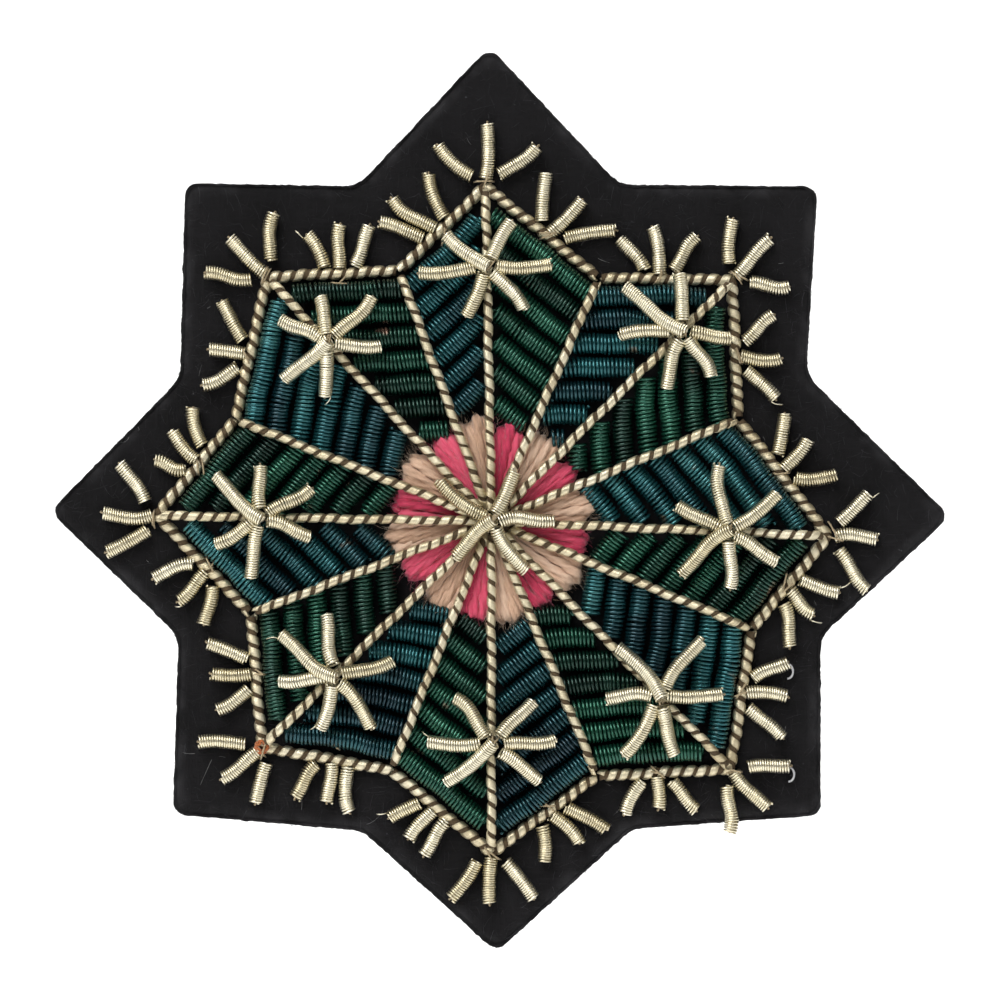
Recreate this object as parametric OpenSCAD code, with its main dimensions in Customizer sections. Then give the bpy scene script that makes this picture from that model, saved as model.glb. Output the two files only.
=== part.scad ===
// Hand-embroidered star badge for a cap, worked in metal purl and cord on black felt.
// The badge stands upright as it is worn: +Z is up and the face looks along -Y.
// The origin is the centre of the flat back face.  Every module draws its piece lying
// face up, with X to the right, Y up the badge and Z out of the face, and worn() stands it up.

/* [Felt star] */
// Distance from the centre to the sharp corner of a point of the star
point_r = 37.9; // [30:0.1:55]
// Radius that rounds the points
point_round = 1.1; // [0.4:0.1:2]
// Radius that rounds the inner corners
notch_round = 2.6; // [0.5:0.1:4]
// Thickness of the face felt
face_felt_t = 1.5; // [0.8:0.1:3]
// Thickness of the stiffening card
card_t = 0.8; // [0.4:0.1:2]
// Thickness of the backing felt
back_felt_t = 1.0; // [0.8:0.1:2]

/* [Embroidery] */
// Distance from the middle of the embroidery to the tip of a petal's outline
petal_r = 28.1; // [24:0.1:30]
// Distance from the middle of the embroidery to the outline between two petals
waist_r = 22.6; // [19:0.1:24]
// Sideways offset of the embroidery from the middle of the felt
work_x = -0.7; // [-2:0.1:2]
// Upward offset of the embroidery from the middle of the felt
work_y = -1.8; // [-3:0.1:2]
// Diameter of the cord that outlines the petals
outline_d = 1.15; // [0.8:0.05:1.5]
// Diameter of the cord on the veins and between the petals
cord_d = 0.9; // [0.6:0.05:1.2]
// Diameter of the coloured purl that fills the petals
purl_d = 1.8; // [1.2:0.1:2.2]
// Space between two neighbouring lengths of coloured purl
purl_space = 0.2; // [0.05:0.05:0.6]
// Diameter of the cut pieces of gold purl
chip_d = 1.2; // [0.8:0.05:1.3]
// Distance from the middle to the outer end of the rosette's satin stitches
rosette_r = 8.2; // [6:0.1:9]
// Thickness of the rosette's padded satin stitches
rosette_t = 1.6; // [0.6:0.1:1.8]

/* [Fastening] */
// Distance between the two posts
post_spacing = 26; // [20:0.5:30]
// Diameter of a post
post_d = 1.2; // [1:0.05:1.6]
// How far a post stands out of the back face
post_reach = 7.5; // [6.5:0.1:9]
// Diameter of the flat pad that holds a post in the badge
pad_d = 9; // [6:0.5:12]
// Thickness of that pad
pad_t = 0.5; // [0.3:0.05:0.7]
// Thickness of cap cloth that fits between the back face and a clutch
cap_cloth_t = 2.2; // [2.1:0.1:3]
// Outside diameter of a clutch
clutch_d = 11.5; // [10:0.1:14]
// Height of a clutch's cup
clutch_h = 2.4; // [2.2:0.1:3]
// Thickness of the sheet that the cup is drawn from
cup_wall = 0.4; // [0.3:0.05:0.5]
// Thickness of a clutch's wings
wing_t = 0.5; // [0.4:0.05:0.6]
// Width of a clutch's wings
wing_w = 5; // [4:0.1:5.4]

/* [Hidden] */

$fn = 48;
petals = 8;
step = 360 / petals;
// Air left between pieces that lie side by side, and under a piece that lies on others
side_gap = 0.1;
lay_gap = 0.03;
mitre_gap = 0.02;
mitre_spare = 0.2;

// The star is cut by hand, so each point and inner corner is a little off its place.
// Clockwise from the top: degrees clockwise, then millimetres outward.
point_drift = [[-1.3, 0.2], [0.4, -0.4], [2.1, 0], [-0.5, -0.1], [0.4, 0.1], [1.1, 0.2], [-1.5, -0.1], [0.2, -0.4]];
notch_drift = [[-1.8, -0.7], [0.4, -1.2], [0.6, 0.3], [0.6, 0.8], [0, 1.1], [-0.5, 0.3], [-1.7, -0.3], [-1.9, -0.1]];
// An inner corner of two crossed squares lies at this share of the points' distance
notch_r = point_r * cos(45) / cos(22.5);

// The petals are laid by eye, with the same kind of drift
tip_drift = [[-1, 0], [0, 0.5], [2.5, 0.2], [1, 0.8], [0, -0.3], [0.5, -1.1], [1, 0], [2.5, -0.3]];
waist_drift = [[1.3, -0.3], [0, -0.2], [0, 1], [0, 0.5], [-0.5, -0.1], [1.5, -1], [-0.8, 0.5], [2.3, -0.2]];

// Cut pieces of gold purl, as laid: [lean clockwise in degrees, length in millimetres]
tip_fans = [
    [[-46, 3.5], [3, 4.5], [55, 3.6]],
    [[-40, 3.4], [-3, 4], [53, 2.9]],
    [[-47, 3], [2, 3.4], [53, 3.7]],
    [[-47, 3.1], [0, 3.8], [40, 3.5]],
    [[-37, 3.5], [3, 3.5], [35, 3.4]],
    [[-30, 3.1], [7, 3.5], [47, 3.5]],
    [[-29, 3.6], [2, 3.8], [55, 3.4]],
    [[-38, 3.5], [-2, 3.8], [46, 3.5]]
];
before_fans = [
    [[-25, 3.5], [-11, 4], [25, 3.5]],
    [[-40, 2.9], [-9, 3.6], [33, 3.1]],
    [[-42, 3.1], [-12, 2.8], [34, 3.1]],
    [[-32, 2.9], [-3, 3.1], [33, 3.4]],
    [[-25, 3.5], [-8, 3], [33, 2.6]],
    [[-12, 3.4], [-2, 2.9], [22, 3]],
    [[-33, 2.9], [-4, 2.9], [23, 3.2]],
    [[-40, 2.9], [-5, 2.7], [49, 3.3]]
];
after_fans = [
    [[-34, 3.6], [5, 3.5], [42, 3.9]],
    [[-41, 3], [7, 3], [46, 3]],
    [[-20, 3], [8, 2.5], [43, 3.2]],
    [[-37, 2.8], [0, 2.3], [32, 2.7]],
    [[-7, 3], [2, 2.8], [25, 2.4]],
    [[-29, 2.8], [5, 3], [27, 3.2]],
    [[-20, 2.2], [12, 2.7], [36, 2.9]],
    [[-25, 2.7], [3, 3.4], [22, 3.2]]
];
snowflakes = [
    [[30, 2.9], [90, 3.9], [140, 3.2], [203, 3.2], [265, 3.9], [308, 2.6]],
    [[55, 2.4], [103, 2.9], [150, 3.4], [221, 3.4], [262, 4.2], [312, 3.2]],
    [[30, 3.4], [85, 3.2], [135, 3.8], [205, 3.4], [260, 4.2], [320, 3.9]],
    [[30, 3.4], [75, 4.2], [130, 3], [183, 3.8], [262, 4.4], [313, 3.8]],
    [[50, 3.2], [92, 3.5], [142, 3.4], [225, 3.2], [267, 3.5], [308, 3.3]],
    [[38, 2.9], [82, 4], [127, 3.4], [211, 3.8], [280, 3.8], [329, 3]],
    [[43, 3.5], [90, 2.7], [150, 3.5], [201, 3], [277, 3.5], [327, 2.7]],
    [[34, 2.4], [87, 3.8], [137, 2.9], [225, 2.9], [272, 3.2], [338, 2.9]]
];
centre_chips = [[25, 3.4], [90, 3.8], [145, 3.6], [225, 3.2], [308, 4.4]];
// How far out along each vein its snowflake sits, as a share of the vein
snowflake_place = [0.76, 0.79, 0.7, 0.7, 0.67, 0.68, 0.69, 0.73];
// Where the fans stand along a petal's outline, as a share of the way from its tip
fan_place = 0.55;
// Sideways spacing of the three pieces of a fan, as a share of their diameter
fan_spread = 1.18;

// Heights above the back face
felt_top = back_felt_t + card_t + face_felt_t;
purl_z = felt_top + lay_gap + purl_d / 2;
cord_z = felt_top + max(purl_d, rosette_t) + 2 * lay_gap + cord_d / 2;
top_chip_z = cord_z + cord_d / 2 + lay_gap + chip_d / 2;

// Fill of a petal
purl_pitch = purl_d + purl_space;
purl_rows = 8;
purl_shortest = purl_d * 1.1;
purl_keep_out = rosette_r + purl_d / 2 + side_gap;

// The cords stop this far from the middle, where they would touch each other
cord_start_r = cord_d / 2 / sin(step / 4) + side_gap;

// Posts and clutches
post_tip_l = post_d * 0.9;
groove_l = 0.6;
groove_depth = post_d / 6;
post_clear = 0.1;
collar_d = post_d + 0.6;
felt_hole_d = collar_d + 2 * post_clear;
pad_clear = 0.1;
hinge_r = 0.5;
hinge_clear = 0.06;
hinge_pin_r = 0.3;
cheek_t = 0.5;
cheek_gap = 0.12;
hinge_x = 2.5;
hinge_h = cup_wall + 1.2;
wing_lean = 22;
wing_reach = 4.6;
jaw_clear = 0.12;

// ---------- geometry in the plane of the face ----------

// A point at a compass bearing: degrees clockwise from straight up
function bearing(deg, r) = [r * sin(deg), r * cos(deg)];
function unit(v) = v / norm(v);
function cross2(a, b) = a[0] * b[1] - a[1] * b[0];
function right_of(v) = [v[1], -v[0]];
function heading(v) = atan2(v[0], v[1]);

// Points of an arc of radius r that rounds corner b of the outline a-b-c
function rounded(a, b, c, r, pieces = 6) =
    let (
        to_a = unit(a - b),
        to_c = unit(c - b),
        half = acos(to_a * to_c) / 2,
        centre = b + unit(to_a + to_c) * r / sin(half),
        first = b + to_a * r / tan(half) - centre,
        last = b + to_c * r / tan(half) - centre,
        from = heading(first),
        turn = heading(last) - from,
        sweep = turn > 180 ? turn - 360 : turn < -180 ? turn + 360 : turn
    )
    [for (i = [0 : pieces]) centre + bearing(from + sweep * i / pieces, r)];

star_corners = [
    for (k = [0 : petals - 1])
        each [
            bearing(step * k + point_drift[k][0], point_r + point_drift[k][1]),
            bearing(step * (k + 0.5) + notch_drift[k][0], notch_r + notch_drift[k][1])
        ]
];
star_outline = [
    for (i = [0 : len(star_corners) - 1])
        each rounded(
            star_corners[(i + len(star_corners) - 1) % len(star_corners)],
            star_corners[i],
            star_corners[(i + 1) % len(star_corners)],
            i % 2 == 0 ? point_round : notch_round
        )
];

// Tip of petal k, and the waist of the outline that follows it clockwise, from the work's middle
function tip(k) = bearing(step * k + tip_drift[k][0], petal_r + tip_drift[k][1]);
function waist(k) =
    let (j = (k + petals) % petals)
    bearing(step * (j + 0.5) + waist_drift[j][0], waist_r + waist_drift[j][1]);

// Shortening that keeps the square end of a rod along u at least `gap` from a line along v
function end_trim(u, v, d, gap) =
    let (
        sine = abs(cross2(u, v)),
        cosine = abs(u * v)
    )
    (gap + d / 2 * cosine) / sine;

// The two ends of row i of the purl that fills the half petal between tip t and waist w
function purl_row(t, w, i) =
    let (
        height = abs(cross2(t, unit(w - t))),
        first_row = (outline_d + purl_d) / 2 + side_gap,
        share = (height - first_row - i * purl_pitch) / height,
        u = unit(w - t),
        start = t * share + u * end_trim(u, unit(t), purl_d, side_gap / 2),
        full_end = w * share - u * end_trim(u, unit(w), purl_d, side_gap / 2),
        along = start * u,
        reach = pow(along, 2) - start * start + pow(purl_keep_out, 2),
        to_rosette = reach > 0 ? -along - sqrt(reach) : 1000,
        length = min((full_end - start) * u, to_rosette)
    )
    share > 0 && length > purl_shortest ? [start, start + u * length] : [];

// ---------- shared shapes ----------

// Stands a piece up on its point, as it is worn
module worn() {
    rotate([90, 0, 0])
        children();
}

// The middle of the embroidery
module worked() {
    worn()
        translate([work_x, work_y, 0])
            children();
}

module star_slab(from_z, t) {
    translate([0, 0, from_z])
        linear_extrude(t)
            polygon(star_outline);
}

// A straight round rod between two points
module rod(a, b, d) {
    along = b - a;
    flat = norm([along[0], along[1]]);
    translate(a)
        rotate([0, atan2(flat, along[2]), atan2(along[1], along[0])])
            cylinder(d = d, h = norm(along));
}

// A level rod folded at its middle point, where its two arms face each other on a mitre
module folded_rod(a, elbow, b, d) {
    mitred_arm(a, elbow, b, d);
    mitred_arm(b, elbow, a, d);
}

// The arm from a to the elbow, cut on the plane that bisects the corner a-elbow-b
module mitred_arm(a, elbow, b, d) {
    arm = unit(elbow - a);
    half = acos(unit(a - elbow) * unit(b - elbow)) / 2;
    over = d / 2 / tan(half) + mitre_spare;
    away = unit(unit(a - elbow) - unit(b - elbow));
    difference() {
        rod(a, elbow + arm * over, d);
        translate(elbow)
            rotate([0, 0, atan2(away[1], away[0]) + 180])
                translate([-mitre_gap / 2, -2 * over - 2 * d, -d])
                    cube([2 * over + 2 * d, 4 * over + 4 * d, 2 * d]);
    }
}

function lift(p, z) = [p[0], p[1], z];

// ---------- felt ----------

module face_felt() {
    color("#1d1b1e")
        worn()
            star_slab(back_felt_t + card_t, face_felt_t);
}

module stiffener() {
    color("#3a3733")
        worn()
            star_slab(back_felt_t, card_t);
}

// The backing is pierced for the posts and pressed hollow where their pads lie
module back_felt() {
    color("#232124")
        worn()
            difference() {
                star_slab(0, back_felt_t);
                for (side = [-1, 1])
                    translate([side * post_spacing / 2, 0, 0]) {
                        translate([0, 0, -1])
                            cylinder(d = felt_hole_d, h = back_felt_t + 2);
                        translate([0, 0, back_felt_t - pad_t])
                            cylinder(d = pad_d + 2 * pad_clear, h = pad_t + 1);
                    }
            }
}

// ---------- cords ----------

// Outline of one petal, from waist to tip to waist
module outline_cord(k) {
    z = felt_top + lay_gap + outline_d / 2;
    here = tip(k);
    before = waist(k - 1);
    after = waist(k);
    // Half of the corner that two neighbouring outlines make at a waist sets their trim
    trim_before = side_gap / 2 + outline_d / 2 / tan(corner(before, tip((k + petals - 1) % petals), here) / 2);
    trim_after = side_gap / 2 + outline_d / 2 / tan(corner(after, here, tip((k + 1) % petals)) / 2);
    color("#d9cfa6")
        worked()
            folded_rod(
                lift(before + unit(here - before) * trim_before, z),
                lift(here, z),
                lift(after + unit(here - after) * trim_after, z),
                outline_d
            );
}

// Angle at p between the directions to a and to b
function corner(p, a, b) = acos(unit(a - p) * unit(b - p));

// The cord over the vein of each petal, from the middle to the tip of its outline
module vein_cords() {
    color("#d9cfa6")
        worked()
            for (k = [0 : petals - 1]) {
                out = unit(tip(k));
                rod(lift(out * cord_start_r, cord_z), lift(tip(k) - out * outline_d / 2, cord_z), cord_d);
            }
}

// The cord between each two petals, from the middle to the waist of the outline
module divider_cords() {
    color("#d9cfa6")
        worked()
            for (k = [0 : petals - 1]) {
                out = unit(waist(k));
                rod(lift(out * cord_start_r, cord_z), lift(waist(k) - out * outline_d / 2, cord_z), cord_d);
            }
}

// ---------- coloured purl ----------

module purl_fill(t, w) {
    worked()
        for (i = [0 : purl_rows - 1]) {
            ends = purl_row(t, w, i);
            if (len(ends) == 2)
                rod(lift(ends[0], purl_z), lift(ends[1], purl_z), purl_d);
        }
}

// Teal fills the half of a petal before its vein, going clockwise, and green the half after
module teal_purl(k) {
    color("#123f4a")
        purl_fill(tip(k), waist(k - 1));
}

module green_purl(k) {
    color("#123a28")
        purl_fill(tip(k), waist(k));
}

// ---------- cut pieces of gold purl ----------

// Pieces that leave one middle: each starts where it clears both of its neighbours
module chips_from_middle(chips, z) {
    count = len(chips);
    for (i = [0 : count - 1]) {
        bear = chips[i][0];
        gap_after = (chips[(i + 1) % count][0] - bear + 360) % 360;
        gap_before = (bear - chips[(i + count - 1) % count][0] + 360) % 360;
        start = chip_d / 2 / sin(min(gap_after, gap_before, 90) / 2) + side_gap / 2;
        rod(lift(bearing(bear, start), z), lift(bearing(bear, start + chips[i][1]), z), chip_d);
    }
}

module snowflake(k) {
    color("#e0d8b4")
        worked()
            translate(lift(tip(k) * snowflake_place[k], 0))
                rotate(-heading(tip(k)))
                    chips_from_middle(snowflakes[k], top_chip_z);
}

// Three pieces side by side on a line, leaning apart, just outside the outline cord
module fan(at, face_deg, chips) {
    translate(lift(at, felt_top + lay_gap + chip_d / 2))
        rotate(-face_deg)
            for (j = [0 : len(chips) - 1]) {
                lean = chips[j][0];
                foot = [
                    (j - 1) * chip_d * fan_spread,
                    outline_d / 2 + side_gap + chip_d / 2 * abs(sin(lean))
                ];
                rod(lift(foot, 0), lift(foot + bearing(lean, chips[j][1]), 0), chip_d);
            }
}

// The fans at the tip of petal k and on the two edges of its outline
module fan_chips(k) {
    here = tip(k);
    before = waist(k - 1);
    after = waist(k);
    color("#e0d8b4")
        worked() {
            fan(here, heading(here), tip_fans[k]);
            fan(
                here + (before - here) * fan_place,
                heading(right_of(here - before)) + 180,
                before_fans[k]
            );
            fan(
                here + (after - here) * fan_place,
                heading(right_of(here - after)),
                after_fans[k]
            );
        }
}

module centre_star() {
    color("#e0d8b4")
        worked()
            chips_from_middle(centre_chips, top_chip_z);
}

// ---------- rosette ----------

// One block of satin stitch in the sector between directions a and b, with a round outer end
module satin_block(a, b) {
    half = acos(unit(a) * unit(b)) / 2;
    inner_r = cord_start_r * 0.9;
    end_r = (rosette_r + side_gap) / (1 + tan(half));
    half_in = inner_r * tan(half) - side_gap;
    half_out = end_r * tan(half) - side_gap;
    translate([0, 0, felt_top + lay_gap])
        linear_extrude(rosette_t)
            rotate(-heading(unit(a) + unit(b))) {
                polygon([
                    [-half_in, inner_r],
                    [half_in, inner_r],
                    [half_out, end_r],
                    [-half_out, end_r]
                ]);
                translate([0, end_r])
                    circle(r = half_out);
            }
}

module rosette_pink() {
    color("#c8405a")
        worked()
            for (k = [0 : petals - 1])
                satin_block(tip(k), waist(k));
}

module rosette_beige() {
    color("#c8a088")
        worked()
            for (k = [0 : petals - 1])
                satin_block(tip(k), waist(k - 1));
}

// ---------- fastening ----------

// A pad with a post that pierces the backing and the cap.  The post has a collar inside the
// felt, a groove just behind the cap's cloth and another where the clutch's jaws meet it.
module tack_pin(side) {
    shank = post_reach - post_tip_l;
    first_groove = cap_cloth_t - side_gap;
    jaw_groove = cap_cloth_t + hinge_h - groove_l / 2;
    color("#b9b6ae")
        worn()
            translate([side * post_spacing / 2, 0, 0])
                union() {
                    translate([0, 0, back_felt_t - pad_t])
                        cylinder(d = pad_d, h = pad_t);
                    // The collar fills the pierced hole, so the post's own wall starts at the back face
                    cylinder(d = collar_d, h = back_felt_t);
                    rotate([180, 0, 0]) {
                        cylinder(d = post_d - 2 * groove_depth, h = shank);
                        cylinder(d = post_d, h = first_groove);
                        translate([0, 0, first_groove + groove_l])
                            cylinder(d = post_d, h = jaw_groove - first_groove - groove_l);
                        translate([0, 0, jaw_groove + groove_l])
                            cylinder(d = post_d, h = shank - jaw_groove - groove_l);
                        translate([0, 0, shank])
                            cylinder(d1 = post_d, d2 = post_d * 0.25, h = post_tip_l);
                    }
                }
}

// Puts a clutch's own frame on its post: origin on the post's axis at the face against the
// cap, with Z away from the badge
module on_post(side) {
    worn()
        translate([side * post_spacing / 2, 0, -cap_cloth_t])
            rotate([180, 0, 0])
                children();
}

module clutch_cup(side) {
    cheek_z = wing_w / 2 + cheek_gap + cheek_t / 2;
    color("#b9b6ae")
        on_post(side)
            difference() {
                union() {
                    difference() {
                        cylinder(d = clutch_d, h = clutch_h);
                        translate([0, 0, cup_wall])
                            cylinder(d = clutch_d - 2 * cup_wall, h = clutch_h);
                    }
                    for (wing_side = [-1, 1])
                        for (end = [-1, 1])
                            cheek(wing_side, end * cheek_z);
                }
                translate([0, 0, -1])
                    cylinder(d = post_d + 2 * post_clear, h = cup_wall + 2);
                for (wing_side = [-1, 1])
                    translate([wing_side * hinge_x, -cheek_z - cheek_t, hinge_h])
                        rotate([-90, 0, 0])
                            cylinder(r = hinge_pin_r + hinge_clear, h = 2 * (cheek_z + cheek_t));
            }
}

// An upright lug that carries one end of a wing's hinge
module cheek(wing_side, y) {
    lug_r = hinge_pin_r + hinge_clear + 0.35;
    translate([wing_side * hinge_x, y - cheek_t / 2, 0]) {
        translate([-lug_r, 0, cup_wall / 2])
            cube([2 * lug_r, cheek_t, hinge_h - cup_wall / 2]);
        translate([0, 0, hinge_h])
            rotate([-90, 0, 0])
                cylinder(r = lug_r, h = cheek_t);
    }
}

// A wing turns on its hinge: squeezed in, its ear moves towards the post and its jaw lets go
module clutch_wing(side, wing_side) {
    pin_l = wing_w + 2 * (cheek_gap + cheek_t);
    jaw_l = hinge_x - post_d / 2 - jaw_clear;
    jaw_w = 1.6;
    ear_round = wing_w / 2;
    color("#a9a69e")
        on_post(side)
            translate([wing_side * hinge_x, 0, hinge_h]) {
                translate([0, -wing_w / 2, 0])
                    rotate([-90, 0, 0])
                        cylinder(r = hinge_r, h = wing_w);
                translate([0, -pin_l / 2, 0])
                    rotate([-90, 0, 0])
                        cylinder(r = hinge_pin_r, h = pin_l);
                // The ear leans out and has a round top
                rotate([0, wing_side * wing_lean, 0])
                    translate([-wing_t / 2, 0, 0]) {
                        translate([0, -wing_w / 2, 0])
                            cube([wing_t, wing_w, wing_reach - ear_round]);
                        translate([0, 0, wing_reach - ear_round])
                            rotate([0, 90, 0])
                                cylinder(r = ear_round, h = wing_t);
                    }
                // The jaw reaches in to the post
                translate([wing_side > 0 ? -jaw_l : 0, -jaw_w / 2, -wing_t / 2])
                    cube([jaw_l, jaw_w, wing_t]);
            }
}

// ---------- the badge ----------

face_felt();
stiffener();
back_felt();
for (k = [0 : petals - 1]) {
    outline_cord(k);
    teal_purl(k);
    green_purl(k);
    snowflake(k);
    fan_chips(k);
}
vein_cords();
divider_cords();
rosette_pink();
rosette_beige();
centre_star();
tack_pin(-1);  // left_tack_pin
tack_pin(1);  // right_tack_pin
clutch_cup(-1);  // left_clutch_cup
clutch_wing(-1, 1);  // left_clutch_inner_wing
clutch_wing(-1, -1);  // left_clutch_outer_wing
clutch_cup(1);  // right_clutch_cup
clutch_wing(1, -1);  // right_clutch_inner_wing
clutch_wing(1, 1);  // right_clutch_outer_wing
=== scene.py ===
"""Looks of a hand-embroidered cap badge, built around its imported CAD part.

Every cloth, cord, coil and satin block follows the CAD solid that it stands for.  The sewing
threads, the loose fibres and the marks of handwork have no CAD solid.  Lengths are in metres.
"""

import math
import zlib

import bpy
import numpy as np
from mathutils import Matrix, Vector


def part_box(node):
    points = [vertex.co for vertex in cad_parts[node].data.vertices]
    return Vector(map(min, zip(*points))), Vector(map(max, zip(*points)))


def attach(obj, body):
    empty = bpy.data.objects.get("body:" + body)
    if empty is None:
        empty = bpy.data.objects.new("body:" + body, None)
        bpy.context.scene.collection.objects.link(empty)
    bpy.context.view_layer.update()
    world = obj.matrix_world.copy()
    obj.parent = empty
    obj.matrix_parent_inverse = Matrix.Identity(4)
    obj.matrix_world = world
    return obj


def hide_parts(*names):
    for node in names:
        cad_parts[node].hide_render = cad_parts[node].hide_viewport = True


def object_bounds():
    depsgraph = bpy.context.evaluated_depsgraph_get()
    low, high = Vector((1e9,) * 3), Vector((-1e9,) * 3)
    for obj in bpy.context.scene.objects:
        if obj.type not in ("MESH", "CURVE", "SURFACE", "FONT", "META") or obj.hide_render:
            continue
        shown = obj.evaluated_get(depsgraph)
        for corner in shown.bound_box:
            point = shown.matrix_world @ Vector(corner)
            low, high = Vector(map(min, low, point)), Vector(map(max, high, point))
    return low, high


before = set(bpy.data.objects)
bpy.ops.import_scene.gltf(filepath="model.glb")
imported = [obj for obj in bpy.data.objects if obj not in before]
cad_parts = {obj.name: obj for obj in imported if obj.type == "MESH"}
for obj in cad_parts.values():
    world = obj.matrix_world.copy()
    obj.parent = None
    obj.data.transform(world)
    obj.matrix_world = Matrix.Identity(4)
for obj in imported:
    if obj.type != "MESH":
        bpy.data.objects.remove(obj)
CAD_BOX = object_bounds()

MM = 0.001
PETALS = range(1, 9)
# The embroidered face looks this way
FACE = np.array([0.0, -1.0, 0.0])

# Half the thickness of each wire, and the distance from one of its turns to the next
PURL_WIRE, PURL_TURN = 0.148 * MM, 0.32 * MM
CHIP_WIRE, CHIP_TURN = 0.094 * MM, 0.2 * MM
# A coil is wound this much wider than its CAD rod
COIL_SWELL = 1.03
# The distance from one gilt turn of a cord to the next
OUTLINE_TURN, CORD_TURN = 1.09 * MM, 1.17 * MM
# A cord's gilt ply and dark core: radius, half width, half thickness and core radius, the width as
# a share of the turn and the rest as shares of the cord's diameter
PLY_RADIUS, PLY_HALF_WIDTH, PLY_HALF_THICK, CORE_RADIUS = 0.45, 0.3, 0.12, 0.345
# Half the thickness of the sewing thread, the fibres and the other loose threads
THREAD, TYING_THREAD, WHISKER = 0.07 * MM, 0.075 * MM, 0.05 * MM
ORANGE_THREAD, WHITE_THREAD = 0.12 * MM, 0.085 * MM
FACE_FIBRE, EDGE_FIBRE, LINT_FIBRE, SILK_FIBRE = 0.011 * MM, 0.012 * MM, 0.014 * MM, 0.012 * MM
# Points round and across a layer of felt, its soft edge, and the widths of its waves and its nap
FELT_AROUND, FELT_ACROSS = 800, 42
FELT_ROUNDING, FELT_WAVE, FELT_NAP = 0.28 * MM, 4.5 * MM, 0.9 * MM
# How far the floor lies below the badge, which then throws no shadow on it
FLOOR_DROP = 0.25
# The camera's distance from the face, and how wide its picture is there
CAMERA_DISTANCE, CAMERA_VIEW = 0.62, 84 * MM


# ---------- what the frame says ----------


def luck(name):
    """A random generator that is the same for the same name on every run."""
    return np.random.default_rng(zlib.crc32(name.encode()))


def unit(v):
    v = np.asarray(v, float)
    return v / np.maximum(np.linalg.norm(v, axis=-1, keepdims=True), 1e-12)


def distance_along(path):
    """How far each point of a path lies from its start, along the path."""
    steps = np.linalg.norm(np.diff(path, axis=0), axis=1)
    return np.concatenate([[0], np.cumsum(steps)])


def ring_points(radius, angles, y, middle=(0, 0, 0)):
    """Points at a radius and an angle round a middle, seen from the front, at the depth y."""
    across = middle[0] + radius * np.cos(angles)
    up = middle[2] + radius * np.sin(angles)
    return np.stack([across, np.broadcast_to(y, np.shape(across)), up], -1)


def depth_of(node):
    lo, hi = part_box(node)
    return hi.y - lo.y


def node_points(node):
    """A CAD node's corners, with the doubled ones merged, and its edges between them."""
    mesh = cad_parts[node].data
    points = np.zeros(len(mesh.vertices) * 3)
    mesh.vertices.foreach_get("co", points)
    edges = np.zeros(len(mesh.edges) * 2, int)
    mesh.edges.foreach_get("vertices", edges)
    grid = np.round(points.reshape(-1, 3) * 1e6).astype(int)
    merged, index = np.unique(grid, axis=0, return_inverse=True)
    return merged * 1e-6, index.reshape(-1)[edges].reshape(-1, 2)


def solids(node):
    """The corners of each separate solid of a CAD node."""
    points, edges = node_points(node)
    label = np.arange(len(points))
    while True:
        low = np.minimum(label[edges[:, 0]], label[edges[:, 1]])
        new = label.copy()
        np.minimum.at(new, edges[:, 0], low)
        np.minimum.at(new, edges[:, 1], low)
        new = new[new]
        if (new == label).all():
            break
        label = new
    found = [points[label == i] for i in np.unique(label)]
    return sorted(found, key=lambda p: tuple(np.round(p.mean(0), 5)))


def rod_ends(points):
    """The middles of the two ends of a straight rod."""
    away = points - points.mean(0)
    along = away @ np.linalg.svd(away, full_matrices=False)[2][0]
    middle = (along.min() + along.max()) / 2
    return points[along < middle].mean(0), points[along >= middle].mean(0)


def rods(node):
    """Each rod of a CAD node as its inner end and its outer end."""
    ends = [rod_ends(p) for p in solids(node)]
    return [(a, b) if off_centre(a) < off_centre(b) else (b, a) for a, b in ends]


def off_centre(p):
    return math.hypot(p[0] - CENTRE[0], p[2] - CENTRE[2])


def meeting_point(lines):
    """The point nearest to all of the lines, each given by two of its points."""
    left, right = np.zeros((3, 3)), np.zeros(3)
    for a, b in lines:
        u = unit(b - a)
        across = np.eye(3) - np.outer(u, u)
        left += across
        right += across @ a
    return np.linalg.lstsq(left, right, rcond=None)[0]


CENTRE = meeting_point([rod_ends(p) for p in solids("vein_cords")])
FELT_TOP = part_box("face_felt")[0].y
ROSETTE_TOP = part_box("rosette_pink")[0].y
PURL_D = depth_of("teal_purl_1")
CORD_D = depth_of("vein_cords")
CHIP_D = depth_of("centre_star")
OUTLINE_D = depth_of("outline_cord_1")


# ---------- mesh building ----------


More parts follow.
